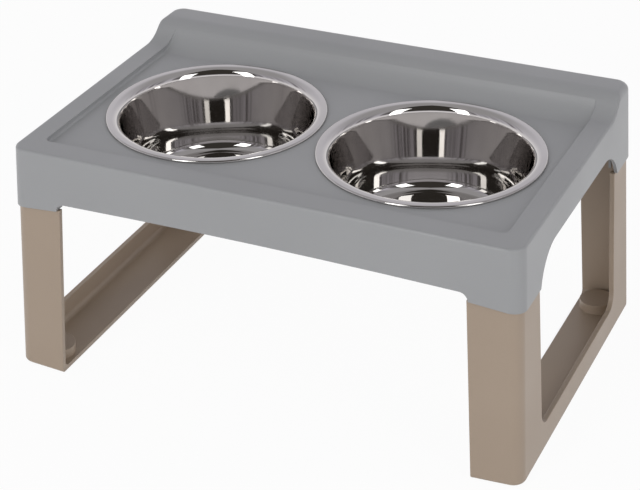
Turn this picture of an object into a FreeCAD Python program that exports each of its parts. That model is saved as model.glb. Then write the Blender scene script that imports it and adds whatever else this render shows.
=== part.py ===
import FreeCAD, Part
import math
import os

# Raised pet feeder: a tray on two plug-in leg frames, with two bowls that lift out.
# Millimetres. +Z is up, the floor is z = 0, the front faces -Y and +X is to the right.
# The origin lies on the floor under the middle of the tray.

V = FreeCAD.Vector

# Bowls
BOWL_RIM_DIAMETER = 198.0
BOWL_FLANGE = 11.7
BOWL_DEPTH = 76.0
BOWL_SHEET = 0.8
RIM_TURN = 2.2
RIM_TURN_RADIUS = 1.6
MOUTH_RADIUS = 8.0
WALL_LEAN = 9.8
BOTTOM_RADIUS = 10.0
SEAT_GAP = 0.2

# Tray plan: the bowls, the gaps around them and the rim bands make up its length and depth
BOWL_GAP = 7.0
BOWL_END_GAP = 9.0
BOWL_FRONT_GAP = 15.5
END_BAND = 20.0
FRONT_BAND = 23.0
BACK_DEPTH = 63.5
CORNER_RADIUS = 13.0
SIDE_FLARE = 3.4
FRONT_FLARE = 2.3

# Tray heights and skin
RIM_HEIGHT = 221.0
TRAY_WALL = 3.0
RIM_EDGE_RADIUS = 2.5
RECESS_DEPTH = 5.0
RECESS_CORNER = 6.0
RECESS_FOOT = 2.5
BACK_RISE = 16.0
BACK_STRIP = 24.0
BACK_EDGE_RADIUS = 6.5
COVE_RADIUS = 30.0
CREST_RADIUS = 26.0
COVE_REACH = 3.0
COVE_STEEPNESS = 65.0
HOLE_FIT = 5.0
HOLE_LIP = 6.0

# Skirts and the collars at the four corners
FRONT_SKIRT = 45.7
FRONT_ARCH = 2.2
ARCH_SHARE = 0.9
FRONT_SKIRT_RADIUS = 8.0
SIDE_SKIRT = 28.5
SIDE_ARCH_RADIUS = 40.0
SIDE_ARCH_LEAN = 18.0
COLLAR_LENGTH = 45.0
COLLAR_REACH = 53.0
SEAM_TILT = 4.2

# Leg frames
PANEL = 4.5
LEG_WIDTH = 45.0
LEG_INSET = 2.0
LEG_LIFT = 3.4
LEG_EDGE_RADIUS = 3.0
LEG_COVE_RADIUS = 5.0
UPRIGHT = 53.0
LOWER_BAR = 25.0
WINDOW_RADIUS = 14.0
SEAM_GAP = 0.3
TONGUE_HEIGHT = 36.0
TONGUE_FIT = 0.4
TONGUE_SIDE_STEP = 3.5
TONGUE_END_STEP = 5.0
RIB = 2.1

# Rubber feet and the bosses that hold them
BOSS_RADIUS = 16.0
BOSS_HEIGHT = 9.0
BOSS_SETBACK = 20.0
FOOT_RADIUS = 12.4
FOOT_FIT = 0.1
WELL_ROOF = 3.0

# Sizes that follow from the ones above
BOWL_RADIUS = BOWL_RIM_DIAMETER / 2
BODY_RADIUS = BOWL_RADIUS - BOWL_FLANGE
BOWL_X = BOWL_RADIUS + BOWL_GAP / 2
HALF_LENGTH = BOWL_X + BOWL_RADIUS + BOWL_END_GAP + END_BAND
HALF_DEPTH = (FRONT_BAND + BOWL_FRONT_GAP + BOWL_RIM_DIAMETER + BACK_DEPTH) / 2
BOWL_Y = -HALF_DEPTH + FRONT_BAND + BOWL_FRONT_GAP + BOWL_RADIUS
FLOOR_HEIGHT = RIM_HEIGHT - RECESS_DEPTH
BOWL_TOP = FLOOR_HEIGHT + SEAT_GAP + RIM_TURN
RECESS_HALF = HALF_LENGTH - END_BAND
RECESS_FRONT = -HALF_DEPTH + FRONT_BAND
HOLE_RADIUS = BODY_RADIUS + HOLE_FIT
TAN_SIDE = math.tan(math.radians(SIDE_FLARE))
TAN_FRONT = math.tan(math.radians(FRONT_FLARE))
BACK_TOP = RIM_HEIGHT + BACK_RISE
SWEEP = math.acos(1 - BACK_RISE / (COVE_RADIUS + CREST_RADIUS))
SEAM_HEIGHT = RIM_HEIGHT - COLLAR_REACH
LEG_FOOT_X = HALF_LENGTH + (RIM_HEIGHT - LEG_LIFT) * TAN_SIDE - LEG_INSET
LEG_FOOT_Y = HALF_DEPTH + (RIM_HEIGHT - LEG_LIFT) * TAN_FRONT - LEG_INSET
LEG_CORNER = CORNER_RADIUS - LEG_INSET
TONGUE_STEP = TRAY_WALL + TONGUE_FIT - LEG_INSET
TONGUE_TOP = SEAM_HEIGHT - LEG_LIFT + TONGUE_HEIGHT
BOSS_X = LEG_WIDTH / 2 + PANEL / 2
BOSS_Y = LEG_FOOT_Y - PANEL - BOSS_SETBACK
COLLAR_X = HALF_LENGTH + COLLAR_REACH * TAN_SIDE - COLLAR_LENGTH
FAR = 2 * HALF_LENGTH
HIGH = 2 * RIM_HEIGHT
TOUCH = 0.01


def outline(corners, place):
    """Closed outline through corners (a, b, radius), each bend an arc, laid in space by place(a, b)."""
    bends = []
    for i, (a, b, radius) in enumerate(corners):
        here = V(a, b, 0)
        before = V(*corners[i - 1][:2], 0) - here
        after = V(*corners[(i + 1) % len(corners)][:2], 0) - here
        before.normalize()
        after.normalize()
        half = before.getAngle(after) / 2
        reach = radius / math.tan(half)
        inward = before + after
        inward.normalize()
        middle = here + inward * (radius / math.sin(half) - radius)
        bends.append((here + before * reach, middle, here + after * reach))
    edges = []
    for i, (start, middle, end) in enumerate(bends):
        last = bends[i - 1][2]
        if last.distanceToPoint(start) > TOUCH:
            edges.append(Part.makeLine(place(last.x, last.y), place(start.x, start.y)))
        if start.distanceToPoint(end) > TOUCH:
            points = [place(p.x, p.y) for p in (start, middle, end)]
            edges.append(Part.Arc(*points).toShape())
    return Part.Face(Part.Wire(edges))


def across(corners, x_low, x_high):
    """Prism along X with a side-view outline of (y, z, radius)."""
    return outline(corners, lambda y, z: V(x_low, y, z)).extrude(V(x_high - x_low, 0, 0))


def along(corners, y_low, y_high):
    """Prism along Y with a front-view outline of (x, z, radius)."""
    return outline(corners, lambda x, z: V(x, y_low, z)).extrude(V(0, y_high - y_low, 0))


def both_sides(shape):
    """The shape and its mirror image in the middle plane x = 0."""
    return [shape, shape.mirror(V(0, 0, 0), V(1, 0, 0))]


def drafted_block(inset, low, high):
    """Tray envelope: four leaning walls with rounded upright corners, moved in by inset."""
    x_low = HALF_LENGTH + (RIM_HEIGHT - low) * TAN_SIDE - inset
    x_high = HALF_LENGTH + (RIM_HEIGHT - high) * TAN_SIDE - inset
    y_low = HALF_DEPTH + (RIM_HEIGHT - low) * TAN_FRONT - inset
    y_high = HALF_DEPTH + (RIM_HEIGHT - high) * TAN_FRONT - inset
    front = [(-x_low, low, 0), (x_low, low, 0), (x_high, high, 0), (-x_high, high, 0)]
    side = [(-y_low, low, 0), (y_low, low, 0), (y_high, high, 0), (-y_high, high, 0)]
    block = along(front, -FAR, FAR).common(across(side, -FAR, FAR))
    uprights = [e for e in block.Edges if e.BoundBox.ZLength > (high - low) / 2]
    return block.makeFillet(CORNER_RADIUS - inset, uprights)


def capped_block(inset, low):
    """Tray envelope up to the top of the raised back, with that top's outer edge well rounded."""
    high = BACK_TOP - inset
    block = drafted_block(inset, low, high)
    edges = [e for e in block.Edges if e.BoundBox.ZMin > high - TOUCH]
    return block.makeFillet(BACK_EDGE_RADIUS - inset, edges)


def space_above(skin):
    """Everything above the rim and the raised back, moved down into the tray by skin."""
    rim = RIM_HEIGHT - skin
    top = BACK_TOP - skin
    crest = HALF_DEPTH - BACK_STRIP - (CREST_RADIUS - skin) * math.tan(SWEEP / 2)
    foot = crest - BACK_RISE / math.tan(SWEEP)
    corners = [
        (-FAR, rim, 0),
        (foot, rim, COVE_RADIUS + skin),
        (crest, top, CREST_RADIUS - skin),
        (FAR, top, 0),
        (FAR, HIGH, 0),
        (-FAR, HIGH, 0),
    ]
    return across(corners, -FAR, FAR)


def recess(skin):
    """The sunk floor's space, swept up at the rear, grown by skin on its floor and walls."""
    steep = math.radians(COVE_STEEPNESS)
    radius = COVE_RADIUS + skin
    floor = FLOOR_HEIGHT - skin
    cove = BOWL_Y + BOWL_RADIUS - COVE_REACH + radius * math.tan(steep / 2)
    front = RECESS_FRONT - skin
    corners = [
        (front, floor, 0),
        (cove, floor, radius),
        (cove + (HIGH - floor) / math.tan(steep), HIGH, 0),
        (front, HIGH, 0),
    ]
    half = RECESS_HALF + skin
    block = across(corners, -half, half)
    uprights = [e for e in block.Edges if e.BoundBox.ZLength > RIM_HEIGHT / 2 and e.BoundBox.YMax < 0]
    return block.makeFillet(RECESS_CORNER + skin, uprights)


def recess_with_soft_foot():
    """The recess with a small round where its walls meet its floor."""
    block = recess(0)
    floor_edges = [e for e in block.Edges if e.BoundBox.ZMax < FLOOR_HEIGHT + TOUCH and e.BoundBox.YMax < 0]
    return block.makeFillet(RECESS_FOOT, floor_edges)


def seam(x):
    """Height of the seam between collar and leg at a distance x from the middle."""
    return SEAM_HEIGHT - (x - COLLAR_X) * math.tan(math.radians(SEAM_TILT))


def below_seam(drop):
    """Right-hand space under the collars' lower edge, lowered by drop."""
    corners = [
        (COLLAR_X - LEG_INSET - drop, seam(COLLAR_X - LEG_INSET - drop) - drop, 0),
        (FAR, seam(FAR) - drop, 0),
        (FAR, -HIGH, 0),
        (COLLAR_X - LEG_INSET - drop, -HIGH, 0),
    ]
    return along(corners, -FAR, FAR)


def below_skirts():
    """Spaces under the front, rear and side skirts, between the collars."""
    end = RIM_HEIGHT - FRONT_SKIRT
    arch = ARCH_SHARE * COLLAR_X ** 2 / (2 * FRONT_ARCH)
    front = [
        (-COLLAR_X, 0, 0),
        (-COLLAR_X, end, FRONT_SKIRT_RADIUS),
        (0, end + 2 * FRONT_ARCH, arch),
        (COLLAR_X, end, FRONT_SKIRT_RADIUS),
        (COLLAR_X, 0, 0),
    ]
    top = RIM_HEIGHT - SIDE_SKIRT
    lean = math.tan(math.radians(SIDE_ARCH_LEAN))
    foot = LEG_FOOT_Y - UPRIGHT + TONGUE_STEP
    corner = foot - (top - SEAM_HEIGHT) * lean
    low = corner + top * lean
    side = [(-low, 0, 0), (-corner, top, SIDE_ARCH_RADIUS), (corner, top, SIDE_ARCH_RADIUS), (low, 0, 0)]
    return along(front, -FAR, FAR), across(side, -FAR, FAR)


def lean_right(shape):
    """Set a leg piece from its upright drawing onto its place at the right, leaning inward."""
    turned = shape.copy()
    turned.rotate(V(0, 0, 0), V(0, 1, 0), -SIDE_FLARE)
    turned.translate(V(LEG_FOOT_X, 0, LEG_LIFT))
    return turned


def upright_block(inset, width, low, high):
    """Leg envelope as drawn upright: outer side at x = 0, front and rear leaning, outer corners round."""
    y_low = LEG_FOOT_Y - inset - low * TAN_FRONT
    y_high = LEG_FOOT_Y - inset - high * TAN_FRONT
    block = across([(-y_low, low, 0), (y_low, low, 0), (y_high, high, 0), (-y_high, high, 0)], -width, -inset)
    outer = [e for e in block.Edges if e.BoundBox.ZLength > (high - low) / 2 and e.BoundBox.XMax > -width / 2]
    return block.makeFillet(LEG_CORNER - inset, outer)


def soften_bottom(block, radius, low):
    """Round the bottom edges of a leg envelope, except along its open inner side."""
    inner = block.BoundBox.XMin + TOUCH
    edges = [e for e in block.Edges if e.BoundBox.ZMax < low + TOUCH and e.BoundBox.XMax > inner]
    return block.makeFillet(radius, edges)


def leg_hollow():
    """The inside of the leg frame: open at the top and toward the middle of the stand."""
    block = upright_block(PANEL, 2 * LEG_WIDTH, PANEL, RIM_HEIGHT)
    return soften_bottom(block, LEG_COVE_RADIUS, PANEL)


def leg_window(half, bottom):
    """Opening through the outer flange of the leg frame, open at the top."""
    corners = [
        (-half, bottom, WINDOW_RADIUS),
        (half, bottom, WINDOW_RADIUS),
        (half, HIGH, 0),
        (-half, HIGH, 0),
    ]
    return across(corners, -PANEL - LEG_CORNER, LEG_INSET)


def boss_places():
    """Centres of the two foot bosses on the lower plate, as drawn upright."""
    return [V(-BOSS_X, -BOSS_Y, 0), V(-BOSS_X, BOSS_Y, 0)]


def right_leg_frame():
    """Front panel, lower plate, rear panel and outer flange, with tongues that plug into the collars."""
    hollow = leg_hollow()
    window_half = LEG_FOOT_Y - UPRIGHT
    shell = soften_bottom(upright_block(0, LEG_WIDTH, 0, RIM_HEIGHT), LEG_EDGE_RADIUS, 0)
    shell = shell.cut(hollow).cut(leg_window(window_half, LOWER_BAR))
    for place in boss_places():
        boss = Part.makeCylinder(BOSS_RADIUS, PANEL / 2 + BOSS_HEIGHT, place + V(0, 0, PANEL / 2))
        well = Part.makeCylinder(FOOT_RADIUS + FOOT_FIT, PANEL + BOSS_HEIGHT - WELL_ROOF, place)
        shell = shell.fuse(boss).cut(well)
    tongue = upright_block(TONGUE_STEP, LEG_WIDTH - TONGUE_SIDE_STEP, 0, TONGUE_TOP)
    tongue = tongue.cut(hollow).cut(leg_window(window_half + TONGUE_END_STEP, LOWER_BAR))
    shell = lean_right(shell).common(below_seam(SEAM_GAP))
    tongue = lean_right(tongue).cut(below_seam(SEAM_GAP + PANEL))
    return shell.fuse(tongue).removeSplitter()


def right_guides():
    """Ribs inside the right-hand collars that hold the leg's tongues, clear of their rounded corners."""
    low = SEAM_HEIGHT - LEG_LIFT
    high = BACK_TOP
    guide_y = LEG_FOOT_Y - PANEL - TONGUE_TOP * TAN_FRONT - TONGUE_FIT
    outer_y = HALF_DEPTH + COLLAR_REACH * TAN_FRONT - TRAY_WALL / 2
    end_x = -LEG_WIDTH + TONGUE_SIDE_STEP - TONGUE_FIT
    guide_x = -PANEL - TONGUE_FIT
    end_y = LEG_FOOT_Y - UPRIGHT + TONGUE_END_STEP
    corner = LEG_CORNER - PANEL
    front = Part.makeBox(guide_x - corner - end_x + RIB, RIB, high - low, V(end_x - RIB, -guide_y, low))
    side = Part.makeBox(RIB, guide_y - corner - end_y, high - low, V(guide_x - RIB, corner - guide_y, low))
    end = Part.makeBox(RIB, outer_y - guide_y + RIB, high - low, V(end_x - RIB, -outer_y, low))
    ribs = lean_right(front.fuse(side).fuse(end))
    under_skin = capped_block(TRAY_WALL / 2, seam(FAR)).cut(space_above(TRAY_WALL / 2))
    return [r.common(under_skin) for r in (ribs, ribs.mirror(V(0, 0, 0), V(0, 1, 0)))]


def tray():
    """Hollow moulded tray: rim, sunk floor with two holes, raised back, skirts and corner collars."""
    base = seam(FAR)
    body = drafted_block(0, base, HIGH).cut(space_above(0))
    level = [e for e in body.Edges if e.BoundBox.ZMin > RIM_HEIGHT - TOUCH]
    front = [e for e in level if e.BoundBox.YMax < RECESS_FRONT]
    body = body.makeFillet(RIM_EDGE_RADIUS, front).common(capped_block(0, base))
    hollow = capped_block(TRAY_WALL, base - TRAY_WALL).cut(space_above(TRAY_WALL))
    body = body.cut(hollow.cut(recess(TRAY_WALL)))
    for x in (-BOWL_X, BOWL_X):
        lip_base = V(x, BOWL_Y, FLOOR_HEIGHT - TRAY_WALL - HOLE_LIP)
        body = body.fuse(Part.makeCylinder(HOLE_RADIUS + TRAY_WALL, HOLE_LIP + TRAY_WALL / 2, lip_base))
    for ribs in right_guides():
        for rib in both_sides(ribs):
            body = body.fuse(rib)
    body = body.cut(recess_with_soft_foot())
    for x in (-BOWL_X, BOWL_X):
        body = body.cut(Part.makeCylinder(HOLE_RADIUS, HIGH, V(x, BOWL_Y, 0)))
    for cut in below_skirts():
        body = body.cut(cut)
    for cut in both_sides(below_seam(0)):
        body = body.cut(cut)
    return body.removeSplitter()


def bowl_path():
    """Upper surface of the bowl from the rim's turned edge to the centre, as (radius, height, bend)."""
    bottom = BODY_RADIUS - BOWL_DEPTH * math.tan(math.radians(WALL_LEAN))
    return [
        (BOWL_RADIUS, -RIM_TURN, 0),
        (BOWL_RADIUS, 0, RIM_TURN_RADIUS),
        (BODY_RADIUS, 0, MOUTH_RADIUS),
        (bottom, -BOWL_DEPTH, BOTTOM_RADIUS),
        (0, -BOWL_DEPTH, 0),
    ]


def sheet_behind(path, thickness):
    """The other face of a sheet: the path moved to its left by the thickness, bends kept concentric."""
    moved = []
    for i, (a, b, radius) in enumerate(path):
        here = V(a, b, 0)
        ahead = V(*path[min(i + 1, len(path) - 1)][:2], 0) - V(*path[min(i, len(path) - 2)][:2], 0)
        behind = V(*path[max(i, 1)][:2], 0) - V(*path[max(i - 1, 0)][:2], 0)
        ahead.normalize()
        behind.normalize()
        left = V(-ahead.y - behind.y, ahead.x + behind.x, 0)
        left.normalize()
        shift = thickness / left.dot(V(-ahead.y, ahead.x, 0))
        turn = math.copysign(thickness, behind.x * ahead.y - behind.y * ahead.x) if radius else 0
        place = here + left * shift
        moved.append((place.x, place.y, radius - turn))
    return moved


def bowl(x):
    """Pressed sheet bowl with a flat flange whose edge is turned down onto the tray."""
    path = bowl_path()
    corners = path + sheet_behind(path, BOWL_SHEET)[::-1]
    face = outline(corners, lambda r, z: V(r, 0, z))
    solid = face.revolve(V(0, 0, 0), V(0, 0, 1), 360)
    return solid.translated(V(x, BOWL_Y, BOWL_TOP))


def right_foot(place):
    """Rubber plug pressed into a boss from below, its tread cut level with the floor."""
    top = PANEL + BOSS_HEIGHT - WELL_ROOF - FOOT_FIT
    plug = Part.makeCylinder(FOOT_RADIUS, top + LEG_WIDTH, place - V(0, 0, LEG_WIDTH))
    return lean_right(plug).cut(Part.makeBox(2 * FAR, 2 * FAR, HIGH, V(-FAR, -FAR, -HIGH)))


def pieces():
    """Every separate piece of the stand by name."""
    made = {"tray": tray(), "left_bowl": bowl(-BOWL_X), "right_bowl": bowl(BOWL_X)}
    made["right_leg_frame"], made["left_leg_frame"] = both_sides(right_leg_frame())
    for end, place in zip(("front", "rear"), boss_places()):
        made[end + "_right_foot"], made[end + "_left_foot"] = both_sides(right_foot(place))
    return made


os.makedirs("parts", exist_ok=True)
for name, shape in pieces().items():
    solid = shape.Solids[0]
    print(name, len(shape.Solids), shape.isValid(), round(shape.Volume))
    solid.exportStep("parts/" + name + ".step")
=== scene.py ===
import math

import bmesh
import bpy
import numpy as np
from mathutils import Matrix, Vector


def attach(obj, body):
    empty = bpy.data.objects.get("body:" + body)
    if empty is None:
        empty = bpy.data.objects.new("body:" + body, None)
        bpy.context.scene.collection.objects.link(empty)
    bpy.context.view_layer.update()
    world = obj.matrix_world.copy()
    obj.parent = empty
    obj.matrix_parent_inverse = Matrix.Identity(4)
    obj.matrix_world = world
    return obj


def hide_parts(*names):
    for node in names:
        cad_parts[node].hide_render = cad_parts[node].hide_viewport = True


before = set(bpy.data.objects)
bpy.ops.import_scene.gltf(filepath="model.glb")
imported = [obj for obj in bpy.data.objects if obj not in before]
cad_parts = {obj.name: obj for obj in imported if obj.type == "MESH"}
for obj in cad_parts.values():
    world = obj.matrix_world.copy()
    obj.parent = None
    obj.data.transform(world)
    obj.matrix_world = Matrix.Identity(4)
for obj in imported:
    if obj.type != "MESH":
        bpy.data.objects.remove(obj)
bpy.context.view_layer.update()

# Lengths are in metres and angles in degrees. Front is toward -Y, +X is to the right, the floor is z = 0.

# Bowl, as in the part.
BOWL_CENTRES = {"left_bowl": (-0.1025, -0.0125), "right_bowl": (0.1025, -0.0125)}
BOWL_TOP = 0.2184
BOWL_RADIUS = 0.0990
BOWL_BODY = 0.0873
BOWL_DEPTH = 0.0760
BOWL_SHEET = 0.0008
RIM_TURN = 0.0022
RIM_TURN_RADIUS = 0.0016
MOUTH_RADIUS = 0.0080
WALL_LEAN = 9.8
BOTTOM_RADIUS = 0.0100
BOWL_SIDES = 256
BEND_STEPS = 16
RUN_STEP = 0.0030

# Moulded pieces: how far sharp mould edges are broken, and the angle that counts as an edge.
EDGE_BREAK = 0.0006
EDGE_SEGMENTS = 3
EDGE_ANGLE = 32.0
FLAT_ANGLE = 0.3
FACE_WEIGHT = 80
MERGE_DISTANCE = 1e-6

# The outline of the tray's sunk floor, as in the part, and the soft round on its crest: full up to the start of the
# raised back, and less from there on.
RIM_HEIGHT = 0.2210
RECESS_HALF = 0.2105
RECESS_FRONT = -0.1270
RECESS_CORNER = 0.0060
CREST_ROUND = 0.0024
CREST_SEGMENTS = 6
CREST_START = 0.080
CREST_END = 0.125
CREST_LEAST = 0.25
ON_CREST = 0.0002

# Moulded finishes: a tone and a deeper tone, roughness, grain cells per metre and grain depth.
PLASTIC_GRAIN = 1400.0
RUBBER_GRAIN = 900.0
PLASTIC_DEPTH = 0.00004
RUBBER_DEPTH = 0.0001
TRAY_FINISH = ((0.381, 0.392, 0.396, 1.0), (0.356, 0.366, 0.370, 1.0), 0.38, PLASTIC_GRAIN, PLASTIC_DEPTH)
LEG_FINISH = ((0.430, 0.344, 0.262, 1.0), (0.400, 0.318, 0.240, 1.0), 0.42, PLASTIC_GRAIN, PLASTIC_DEPTH)
RUBBER_FINISH = ((0.045, 0.045, 0.046, 1.0), (0.030, 0.030, 0.031, 1.0), 0.70, RUBBER_GRAIN, RUBBER_DEPTH)

# The grain's pits, the waves under them, which are a share as fine, and the slow drift of tone.
PIT_SMOOTHNESS = 0.6
PIT_HEIGHT = 0.7
PIT_RANGE = (0.1, 0.9)
PIT_SHARE = 0.45
WAVE_FINENESS = 0.3
WAVE_HEIGHT = 0.5
WAVE_DETAIL = 3.0
DRIFT_SCALE = 9.0
DRIFT_DETAIL = 2.0
DRIFT_RANGE = (0.3, 0.7)
DRIFT_SHARE = 0.55
ROUGHNESS_DRIFT = (-0.04, 0.05)
GRAIN_STRENGTH = 0.35

# Polished steel: a tone and a hazy tone, the polishing lines' stretch along U and V, and their share of roughness.
STEEL = (0.620, 0.605, 0.590, 1.0)
HAZY_STEEL = (0.580, 0.565, 0.550, 1.0)
POLISH_STRETCH = (3.0, 2600.0, 1.0)
POLISH_DETAIL = 2.0
POLISH_RANGE = (0.3, 0.7)
POLISH_ROUGHNESS = (0.02, 0.05)
POLISH_STRENGTH = 0.05
POLISH_DEPTH = 0.00001
HAZE_SCALE = 26.0
HAZE_DETAIL = 4.0
HAZE_RANGE = (0.4, 0.75)
HAZE_ROUGHNESS = (0.0, 0.03)
HAZE_TONE_RANGE = (0.35, 0.7)

# How often light may be passed on between the bowls' polished walls.
MIRROR_BOUNCES = 12

# Camera, fitted to the photograph's edges.
CAMERA_PLACE = (0.5831, -1.2554, 0.9014)
CAMERA_AZIMUTH = 25.28
CAMERA_ELEVATION = 30.20
CAMERA_ROLL = -1.302
CAMERA_LENS = 99.0
SENSOR_WIDTH = 36.0
CAMERA_RANGE = 100.0

# Studio: the surroundings' light by direction, and the two softboxes beside the camera. Heights are the sine of the
# elevation, bearings are radians from the camera's azimuth.
WHITE = (1.0, 1.0, 1.0, 1.0)
LOW_WALL = (1.00, 0.97, 0.99, 1.0)
WALL = (0.58, 0.56, 0.62, 1.0)
CEILING = (0.42, 0.41, 0.42, 1.0)
CAMERA_WALL = (0.05, 0.045, 0.04, 1.0)
WALL_HEIGHTS = (0.12, 0.48)
CEILING_HEIGHTS = (0.50, 0.82)
GAP_HEIGHTS = (0.30, 0.40)
GAP_BEARINGS = (0.80, 0.95)
REAR_BEARINGS = (1.90, 2.50)
PANEL = (0.10, 0.09, 0.085, 1.0)
PANEL_SCALE = 5.0
PANEL_DETAIL = 3.0
PANEL_NOISE = (0.46, 0.56)
PANEL_SHARE = 0.75
BACKDROP_SHARE = 0.2
FLOOR_COLOUR = (0.92, 0.92, 0.92, 1.0)
FLOOR_WHITE = 0.95
FLOOR_HALF = 14.0
SOFTBOX_OFFSET = 38.0
SOFTBOX_ELEVATION = 30.0
SOFTBOX_DISTANCE = 3.2
SOFTBOX_WIDTH = 0.8
SOFTBOX_HEIGHT = 3.0
SOFTBOX_LEFT_POWER = 28.0
SOFTBOX_RIGHT_POWER = 18.0


def bowl_corners():
    """Corners of the sheet's upper side from rim to centre: (radius, height from the flange, bend radius)."""
    bottom = BOWL_BODY - BOWL_DEPTH * math.tan(math.radians(WALL_LEAN))
    return (
        (BOWL_RADIUS, -RIM_TURN, 0.0),
        (BOWL_RADIUS, 0.0, RIM_TURN_RADIUS),
        (BOWL_BODY, 0.0, MOUTH_RADIUS),
        (bottom, -BOWL_DEPTH, BOTTOM_RADIUS),
        (0.0, -BOWL_DEPTH, 0.0),
    )


def divided(start, end):
    """Points that divide a straight run evenly, its end among them and its start not."""
    steps = max(1, int(np.linalg.norm(end - start) / RUN_STEP))
    shares = np.linspace(0, 1, steps + 1)[1:, None]
    return start + (end - start) * shares


def bent_profile(corners):
    """A polyline with rounded corners: at a corner of bend radius b the path leaves each run b*tan(half the turn)
    from the corner and follows a circle of radius b between these points, and runs are divided evenly."""
    path = np.array([c[:2] for c in corners])
    bends = np.array([c[2] for c in corners])
    runs = np.diff(path, axis=0)
    lengths = np.linalg.norm(runs, axis=1)
    ways = runs / lengths[:, None]
    stretches = [path[:1]]
    last = path[0]
    for i in range(1, len(path) - 1):
        a, b = ways[i - 1], ways[i]
        turn = math.atan2(a[0] * b[1] - a[1] * b[0], a @ b)
        setback = bends[i] * math.tan(abs(turn) / 2)
        start = path[i] - a * setback
        side = math.copysign(1.0, turn)
        centre = start + side * bends[i] * np.array([-a[1], a[0]])
        stretches.append(divided(last, start))
        angles = np.linspace(0, turn, BEND_STEPS + 1)[1:]
        cos, sin = np.cos(angles), np.sin(angles)
        arm = start - centre
        arc = np.stack([cos * arm[0] - sin * arm[1], sin * arm[0] + cos * arm[1]], axis=1)
        stretches.append(centre + arc)
        last = stretches[-1][-1]
    stretches.append(divided(last, path[-1]))
    return np.concatenate(stretches)


def put_mesh(name, points, quads, triangles, uv_of_points):
    """A mesh from whole arrays of points, quads and triangles; each corner of a face takes its point's UV."""
    mesh = bpy.data.meshes.new(name)
    corners = np.concatenate([quads.ravel(), triangles.ravel()])
    starts = np.concatenate([
        np.arange(len(quads)) * 4,
        quads.size + np.arange(len(triangles)) * 3,
    ])
    mesh.vertices.add(len(points))
    mesh.vertices.foreach_set("co", points.ravel())
    mesh.loops.add(len(corners))
    mesh.loops.foreach_set("vertex_index", corners)
    mesh.polygons.add(len(starts))
    mesh.polygons.foreach_set("loop_start", starts)
    layer = mesh.uv_layers.new(name="around_and_along")
    layer.data.foreach_set("uv", uv_of_points[corners].ravel())
    mesh.update(calc_edges=True)
    mesh.validate()
    mesh.polygons.foreach_set("use_smooth", np.ones(len(mesh.polygons), dtype=bool))
    return mesh


def revolved(name, profile, centre, sides):
    """A profile (radius r, height z) that ends on its axis, carried round a circle: the point at angle t is
    (cx + r cos t, cy + r sin t, z). The last profile point is the single pole. U is the angle's share of a
    turn, folded so that it has no seam, and V the length along the profile in metres."""
    ring = profile[:-1]
    angle = np.arange(sides) * (2 * math.pi / sides)
    r, t = np.meshgrid(ring[:, 0], angle, indexing="ij")
    z = np.repeat(ring[:, 1:], sides, axis=1)
    x = centre[0] + r * np.cos(t)
    y = centre[1] + r * np.sin(t)
    pole = np.array([[centre[0], centre[1], profile[-1, 1]]])
    points = np.concatenate([np.stack([x, y, z], axis=-1).reshape(-1, 3), pole])
    along = np.concatenate([[0.0], np.cumsum(np.linalg.norm(np.diff(profile, axis=0), axis=1))])
    fold = np.abs(angle / math.pi - 1)
    u = np.tile(fold, len(ring))
    v = np.repeat(along[:-1], sides)
    uv = np.stack([np.append(u, 0.5), np.append(v, along[-1])], axis=1)
    row = np.arange(len(ring) - 1)[:, None] * sides
    here = np.arange(sides)[None, :]
    after = (here + 1) % sides
    quads = np.stack([row + here, row + after, row + sides + after, row + sides + here], axis=-1).reshape(-1, 4)
    edge = (len(ring) - 1) * sides
    fan = np.stack([edge + here[0], edge + after[0], np.full(sides, len(points) - 1)], axis=1)
    return put_mesh(name, points, quads, fan, uv)


def place(name, mesh, body, slot, material, *stands_for):
    """An object at the origin that rides a body, takes the given finish and stands for its nodes. Its slot is not
    used.
    """
    piece = bpy.data.objects.new(name, mesh)
    bpy.context.scene.collection.objects.link(piece)
    mesh.materials.clear()
    mesh.materials.append(material)
    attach(piece, body)
    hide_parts(*stands_for)
    return piece


def merged_mesh(node, name):
    """A node's triangles with shared points joined and flat areas joined into single faces."""
    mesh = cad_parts[node].data.copy()
    mesh.name = name
    work = bmesh.new()
    work.from_mesh(mesh)
    bmesh.ops.remove_doubles(work, verts=work.verts, dist=MERGE_DISTANCE)
    bmesh.ops.dissolve_limit(work, angle_limit=math.radians(FLAT_ANGLE), verts=work.verts, edges=work.edges)
    work.to_mesh(mesh)
    work.free()
    mesh.polygons.foreach_set("use_smooth", np.ones(len(mesh.polygons), dtype=bool))
    mesh.set_sharp_from_angle(angle=math.radians(EDGE_ANGLE))
    return mesh


def mark_crest(mesh):
    """Weights for the round on the sunk floor's crest: an edge counts if both ends lie on the recess outline, a
    rectangle with rounded front corners, at rim height or above; the weight falls off up the raised back."""
    points = np.empty(len(mesh.vertices) * 3)
    mesh.vertices.foreach_get("co", points)
    ends = np.empty(len(mesh.edges) * 2, dtype=np.int32)
    mesh.edges.foreach_get("vertices", ends)
    pairs = points.reshape(-1, 3)[ends.reshape(-1, 2)]
    inner = np.array([RECESS_HALF - RECESS_CORNER, -RECESS_FRONT - RECESS_CORNER])
    plan = np.stack([np.abs(pairs[..., 0]), -pairs[..., 1]], axis=-1) - inner
    off = np.linalg.norm(np.maximum(plan, 0.0), axis=-1) + np.minimum(plan.max(axis=-1), 0.0) - RECESS_CORNER
    on_crest = (np.abs(off) < ON_CREST) & (pairs[..., 2] > RIM_HEIGHT - ON_CREST)
    behind = pairs[..., 1].mean(axis=1)
    fade = (CREST_END - behind) / (CREST_END - CREST_START)
    weight = np.where(on_crest.all(axis=1), np.clip(fade, CREST_LEAST, 1.0), 0.0)
    layer = mesh.attributes.new("bevel_weight_edge", "FLOAT", "EDGE")
    layer.data.foreach_set("value", weight)


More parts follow.
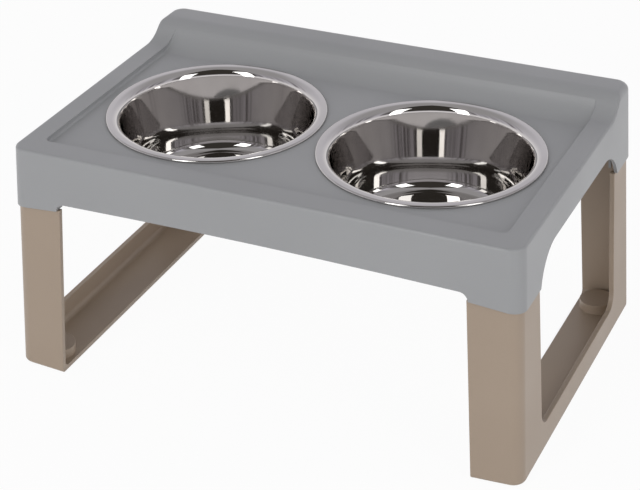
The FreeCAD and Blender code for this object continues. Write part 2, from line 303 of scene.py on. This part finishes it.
def round_crest(piece):
    """The soft round on the crest of the tray's sunk floor."""
    bevel = piece.modifiers.new("crest_round", "BEVEL")
    bevel.width = CREST_ROUND
    bevel.segments = CREST_SEGMENTS
    bevel.limit_method = "WEIGHT"
    bevel.harden_normals = False


def break_edges(piece):
    """Sharp mould edges get a small round, and flat faces keep flat shading beside it."""
    bevel = piece.modifiers.new("broken_edges", "BEVEL")
    bevel.width = EDGE_BREAK
    bevel.segments = EDGE_SEGMENTS
    bevel.limit_method = "ANGLE"
    bevel.angle_limit = math.radians(EDGE_ANGLE)
    bevel.harden_normals = False
    shade = piece.modifiers.new("face_weighted_shading", "WEIGHTED_NORMAL")
    shade.keep_sharp = True
    shade.weight = FACE_WEIGHT


def new_material(name):
    """A material whose node tree is still empty."""
    material = bpy.data.materials.new(name)
    material.use_nodes = True
    material.node_tree.nodes.clear()
    return material


def add(tree, kind, settings=None, inputs=None):
    """A node of a kind, with its settings, and its inputs given as values or as sockets to link from."""
    made = tree.nodes.new(kind)
    for key, value in (settings or {}).items():
        setattr(made, key, value)
    for key, value in (inputs or {}).items():
        if isinstance(value, bpy.types.NodeSocket):
            tree.links.new(value, made.inputs[key])
        else:
            made.inputs[key].default_value = value
    return made


def calc(tree, operation, *values):
    """The result of a math node."""
    inputs = dict(enumerate(values))
    return add(tree, "ShaderNodeMath", {"operation": operation}, inputs).outputs[0]


def blend_colour(tree, factor, first, second):
    """The colour between two colours at a factor. A mix node's colours are its inputs 6 and 7 and its output 2."""
    return add(tree, "ShaderNodeMix", {"data_type": "RGBA"}, {0: factor, 6: first, 7: second}).outputs[2]


def rescale(tree, value, low, high, new_low, new_high):
    """A value mapped from one range to another, clamped."""
    inputs = {"Value": value, "From Min": low, "From Max": high, "To Min": new_low, "To Max": new_high}
    return add(tree, "ShaderNodeMapRange", {"clamp": True}, inputs).outputs[0]


def group_shell(name, inputs, outputs):
    """An empty shader node group with named sockets, its input node and its output node."""
    group = bpy.data.node_groups.new(name, "ShaderNodeTree")
    for socket, kind, value in inputs:
        made = group.interface.new_socket(name=socket, in_out="INPUT", socket_type=kind)
        if value is not None:
            made.default_value = value
    for socket, kind in outputs:
        group.interface.new_socket(name=socket, in_out="OUTPUT", socket_type=kind)
    return group, group.nodes.new("NodeGroupInput"), group.nodes.new("NodeGroupOutput")


def moulded_grain_group():
    """Spark-eroded mould grain: fine pits over a broader unevenness, with a slow drift of tone."""
    group, given, out = group_shell(
        "moulded_grain",
        (("Position", "NodeSocketVector", None), ("Grain Scale", "NodeSocketFloat", PLASTIC_GRAIN),
         ("Drift Scale", "NodeSocketFloat", DRIFT_SCALE)),
        (("Height", "NodeSocketFloat"), ("Drift", "NodeSocketFloat"), ("Pits", "NodeSocketFloat")),
    )
    where = given.outputs["Position"]
    pits = add(group, "ShaderNodeTexVoronoi", {"feature": "SMOOTH_F1"},
               {"Vector": where, "Scale": given.outputs["Grain Scale"], "Smoothness": PIT_SMOOTHNESS})
    coarse = calc(group, "MULTIPLY", given.outputs["Grain Scale"], WAVE_FINENESS)
    waves = add(group, "ShaderNodeTexNoise", None, {"Vector": where, "Scale": coarse, "Detail": WAVE_DETAIL})
    drift = add(group, "ShaderNodeTexNoise", None,
                {"Vector": where, "Scale": given.outputs["Drift Scale"], "Detail": DRIFT_DETAIL})
    height = calc(group, "ADD", calc(group, "MULTIPLY", pits.outputs["Distance"], PIT_HEIGHT),
                  calc(group, "MULTIPLY", waves.outputs["Fac"], WAVE_HEIGHT))
    group.links.new(height, out.inputs["Height"])
    group.links.new(drift.outputs["Fac"], out.inputs["Drift"])
    group.links.new(pits.outputs["Distance"], out.inputs["Pits"])
    return group


def moulded_material(name, grain, tone, deep_tone, roughness, scale, depth):
    """Matte moulded plastic or rubber: tone drifts a little, grain pits are darker and rougher."""
    material = new_material(name)
    tree = material.node_tree
    where = add(tree, "ShaderNodeTexCoord").outputs["Object"]
    effect = add(tree, "ShaderNodeGroup", {"node_tree": grain},
                 {"Position": where, "Grain Scale": scale, "Drift Scale": DRIFT_SCALE})
    shade = calc(tree, "ADD", rescale(tree, effect.outputs["Drift"], *DRIFT_RANGE, 0.0, DRIFT_SHARE),
                 rescale(tree, effect.outputs["Pits"], *PIT_RANGE, 0.0, PIT_SHARE))
    colour = blend_colour(tree, shade, tone, deep_tone)
    rough = rescale(tree, effect.outputs["Drift"], *DRIFT_RANGE, *(roughness + step for step in ROUGHNESS_DRIFT))
    bump = add(tree, "ShaderNodeBump", None,
               {"Strength": GRAIN_STRENGTH, "Distance": depth, "Height": effect.outputs["Height"]})
    surface = add(tree, "ShaderNodeBsdfPrincipled", None,
                  {"Base Color": colour, "Roughness": rough, "Normal": bump.outputs[0]})
    add(tree, "ShaderNodeOutputMaterial", None, {"Surface": surface.outputs[0]})
    return material


def steel_material(name):
    """Polished stainless sheet: polishing lines run round the bowl, with a faint uneven haze."""
    material = new_material(name)
    tree = material.node_tree
    coords = add(tree, "ShaderNodeTexCoord")
    stretched = add(tree, "ShaderNodeMapping", None, {"Vector": coords.outputs["UV"], "Scale": POLISH_STRETCH})
    lines = add(tree, "ShaderNodeTexNoise", None,
                {"Vector": stretched.outputs[0], "Scale": 1.0, "Detail": POLISH_DETAIL})
    haze = add(tree, "ShaderNodeTexNoise", None,
               {"Vector": coords.outputs["Object"], "Scale": HAZE_SCALE, "Detail": HAZE_DETAIL})
    rough = calc(tree, "ADD", rescale(tree, lines.outputs["Fac"], *POLISH_RANGE, *POLISH_ROUGHNESS),
                 rescale(tree, haze.outputs["Fac"], *HAZE_RANGE, *HAZE_ROUGHNESS))
    colour = blend_colour(tree, rescale(tree, haze.outputs["Fac"], *HAZE_TONE_RANGE, 0.0, 1.0), STEEL, HAZY_STEEL)
    bump = add(tree, "ShaderNodeBump", None,
               {"Strength": POLISH_STRENGTH, "Distance": POLISH_DEPTH, "Height": lines.outputs["Fac"]})
    surface = add(tree, "ShaderNodeBsdfPrincipled", None,
                  {"Base Color": colour, "Roughness": rough, "Metallic": 1.0, "Normal": bump.outputs[0]})
    add(tree, "ShaderNodeOutputMaterial", None, {"Surface": surface.outputs[0]})
    return material


def make_bowls(steel):
    """Each bowl is its sheet's upper side carried round the axis, given the sheet's thickness underneath."""
    profile = bent_profile(bowl_corners())
    profile[:, 1] += BOWL_TOP
    for name, centre in BOWL_CENTRES.items():
        mesh = revolved(name + "_sheet", profile, centre, BOWL_SIDES)
        piece = place(name + "_pressed", mesh, name, "bowl_steel", steel, name)
        sheet = piece.modifiers.new("sheet_thickness", "SOLIDIFY")
        sheet.thickness = BOWL_SHEET
        sheet.offset = -1.0
        sheet.use_even_offset = True


def make_mouldings(tray_plastic, leg_plastic, rubber):
    """The tray and leg frames with their mould edges broken, and the feet's rubber."""
    jobs = (
        ("tray", "tray_moulding", "tray", "tray_plastic", tray_plastic),
        ("left_leg_frame", "left_leg_moulding", "left_leg", "leg_plastic", leg_plastic),
        ("right_leg_frame", "right_leg_moulding", "right_leg", "leg_plastic", leg_plastic),
    )
    for node, name, body, slot, material in jobs:
        mesh = merged_mesh(node, name)
        piece = place(name, mesh, body, slot, material, node)
        if node == "tray":
            mark_crest(mesh)
            round_crest(piece)
        break_edges(piece)
    for end in ("front", "rear"):
        for side in ("left", "right"):
            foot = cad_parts[f"{end}_{side}_foot"]
            foot.data.materials.clear()
            foot.data.materials.append(rubber)


def make_floor():
    """A wide pale floor that keeps the object's shadow and is see-through from below."""
    half = FLOOR_HALF
    mesh = bpy.data.meshes.new("studio_floor")
    mesh.from_pydata([(-half, -half, 0), (half, -half, 0), (half, half, 0), (-half, half, 0)], [], [(0, 1, 2, 3)])
    floor = bpy.data.objects.new("studio_floor", mesh)
    bpy.context.scene.collection.objects.link(floor)
    material = new_material("pale_floor")
    tree = material.node_tree
    path = add(tree, "ShaderNodeLightPath")
    seen = calc(tree, "MAXIMUM", path.outputs["Is Camera Ray"],
                calc(tree, "MAXIMUM", path.outputs["Is Glossy Ray"], path.outputs["Is Transmission Ray"]))
    matte = add(tree, "ShaderNodeBsdfDiffuse", None, {"Color": FLOOR_COLOUR})
    white = add(tree, "ShaderNodeEmission", None, {"Color": WHITE, "Strength": 1.0})
    pale = add(tree, "ShaderNodeMixShader", None,
               {0: calc(tree, "MULTIPLY", seen, FLOOR_WHITE), 1: matte.outputs[0], 2: white.outputs[0]})
    clear = add(tree, "ShaderNodeBsdfTransparent")
    side = add(tree, "ShaderNodeNewGeometry").outputs["Backfacing"]
    both = add(tree, "ShaderNodeMixShader", None, {0: side, 1: pale.outputs[0], 2: clear.outputs[0]})
    add(tree, "ShaderNodeOutputMaterial", None, {"Surface": both.outputs[0]})
    mesh.materials.append(material)


def camera_axes():
    """The camera's right, up and back directions from its azimuth, elevation and roll."""
    az, el, roll = (math.radians(a) for a in (CAMERA_AZIMUTH, CAMERA_ELEVATION, CAMERA_ROLL))
    back = np.array([math.sin(az) * math.cos(el), -math.cos(az) * math.cos(el), math.sin(el)])
    level = np.array([math.cos(az), math.sin(az), 0.0])
    rise = np.cross(back, level)
    right = math.cos(roll) * level + math.sin(roll) * rise
    up = -math.sin(roll) * level + math.cos(roll) * rise
    return right, up, back


def make_camera():
    """The camera that took the photograph, with its directions as the columns of its matrix."""
    right, up, back = camera_axes()
    data = bpy.data.cameras.new("photo_camera")
    data.lens = CAMERA_LENS
    data.sensor_width = SENSOR_WIDTH
    data.clip_end = CAMERA_RANGE
    camera = bpy.data.objects.new("photo_camera", data)
    turn = np.eye(4)
    turn[:3, 0], turn[:3, 1], turn[:3, 2], turn[:3, 3] = right, up, back, CAMERA_PLACE
    camera.matrix_world = Matrix(turn.tolist())
    bpy.context.scene.collection.objects.link(camera)
    bpy.context.scene.camera = camera


def softbox(name, azimuth, power):
    """A tall soft lamp at an azimuth measured as the camera's is, facing the middle of the object."""
    az, el = math.radians(azimuth), math.radians(SOFTBOX_ELEVATION)
    way = Vector((math.sin(az) * math.cos(el), -math.cos(az) * math.cos(el), math.sin(el)))
    data = bpy.data.lights.new(name, "AREA")
    data.shape = "RECTANGLE"
    data.size = SOFTBOX_WIDTH
    data.size_y = SOFTBOX_HEIGHT
    data.energy = power
    lamp = bpy.data.objects.new(name, data)
    lamp.location = Vector((0, 0, BOWL_TOP)) + way * SOFTBOX_DISTANCE
    lamp.rotation_euler = way.to_track_quat("Z", "Y").to_euler()
    lamp.visible_camera = False
    bpy.context.scene.collection.objects.link(lamp)


def make_world():
    """White behind the object for the camera, and in part for mirrors. Other rays meet a soft studio: walls that are
    bright low down and fade to a dim ceiling, with dark upright panels at the sides and a dark gap between the
    softboxes on the camera's side."""
    world = bpy.data.worlds.new("studio_surroundings")
    bpy.context.scene.world = world
    world.use_nodes = True
    tree = world.node_tree
    tree.nodes.clear()
    way = add(tree, "ShaderNodeTexCoord").outputs["Generated"]
    az = math.radians(CAMERA_AZIMUTH)
    toward = add(tree, "ShaderNodeVectorMath", {"operation": "DOT_PRODUCT"},
                 {0: way, 1: (math.sin(az), -math.cos(az), 0.0)}).outputs["Value"]
    sideways = add(tree, "ShaderNodeVectorMath", {"operation": "DOT_PRODUCT"},
                   {0: way, 1: (math.cos(az), math.sin(az), 0.0)}).outputs["Value"]
    height = add(tree, "ShaderNodeSeparateXYZ", None, {0: way}).outputs["Z"]
    bearing = calc(tree, "ARCTAN2", sideways, toward)
    off_axis = calc(tree, "ABSOLUTE", bearing)
    rear = rescale(tree, off_axis, *REAR_BEARINGS, 0.0, 1.0)
    overhead = rescale(tree, height, *CEILING_HEIGHTS, 0.0, 1.0)
    walls = blend_colour(tree, rescale(tree, height, *WALL_HEIGHTS, 0.0, 1.0), LOW_WALL, WALL)
    strips = add(tree, "ShaderNodeTexNoise", {"noise_dimensions": "1D"},
                 {"W": bearing, "Scale": PANEL_SCALE, "Detail": PANEL_DETAIL})
    lifted = rescale(tree, height, *GAP_HEIGHTS, 0.0, 1.0)
    panels = calc(tree, "MULTIPLY", rescale(tree, strips.outputs["Fac"], *PANEL_NOISE, 0.0, PANEL_SHARE),
                  calc(tree, "MULTIPLY", lifted, calc(tree, "SUBTRACT", 1.0, rear)))
    room = blend_colour(tree, overhead, blend_colour(tree, panels, walls, PANEL), CEILING)
    gap = calc(tree, "MULTIPLY", rescale(tree, off_axis, *GAP_BEARINGS, 1.0, 0.0), lifted)
    around = blend_colour(tree, gap, room, CAMERA_WALL)
    path = add(tree, "ShaderNodeLightPath")
    mirrored = calc(tree, "MAXIMUM", path.outputs["Is Glossy Ray"], path.outputs["Is Transmission Ray"])
    backdrop = calc(tree, "MULTIPLY", rear, calc(tree, "SUBTRACT", 1.0, overhead))
    in_mirror = calc(tree, "MULTIPLY", calc(tree, "MULTIPLY", mirrored, backdrop), BACKDROP_SHARE)
    white = calc(tree, "MAXIMUM", path.outputs["Is Camera Ray"], in_mirror)
    colour = blend_colour(tree, white, around, WHITE)
    shell = add(tree, "ShaderNodeBackground", None, {"Color": colour, "Strength": 1.0})
    add(tree, "ShaderNodeOutputWorld", None, {"Surface": shell.outputs[0]})


grain = moulded_grain_group()
TRAY_PLASTIC = moulded_material("tray_matte_plastic", grain, *TRAY_FINISH)
LEG_PLASTIC = moulded_material("leg_matte_plastic", grain, *LEG_FINISH)
FOOT_RUBBER = moulded_material("foot_rubber_black", grain, *RUBBER_FINISH)
BOWL_STEEL = steel_material("bowl_polished_steel")

make_bowls(BOWL_STEEL)
make_mouldings(TRAY_PLASTIC, LEG_PLASTIC, FOOT_RUBBER)
make_floor()
make_camera()
make_world()
softbox("softbox_right", CAMERA_AZIMUTH + SOFTBOX_OFFSET, SOFTBOX_RIGHT_POWER)
softbox("softbox_left", CAMERA_AZIMUTH - SOFTBOX_OFFSET, SOFTBOX_LEFT_POWER)
bpy.context.scene.view_settings.view_transform = "Standard"
bpy.context.scene.cycles.glossy_bounces = MIRROR_BOUNCES
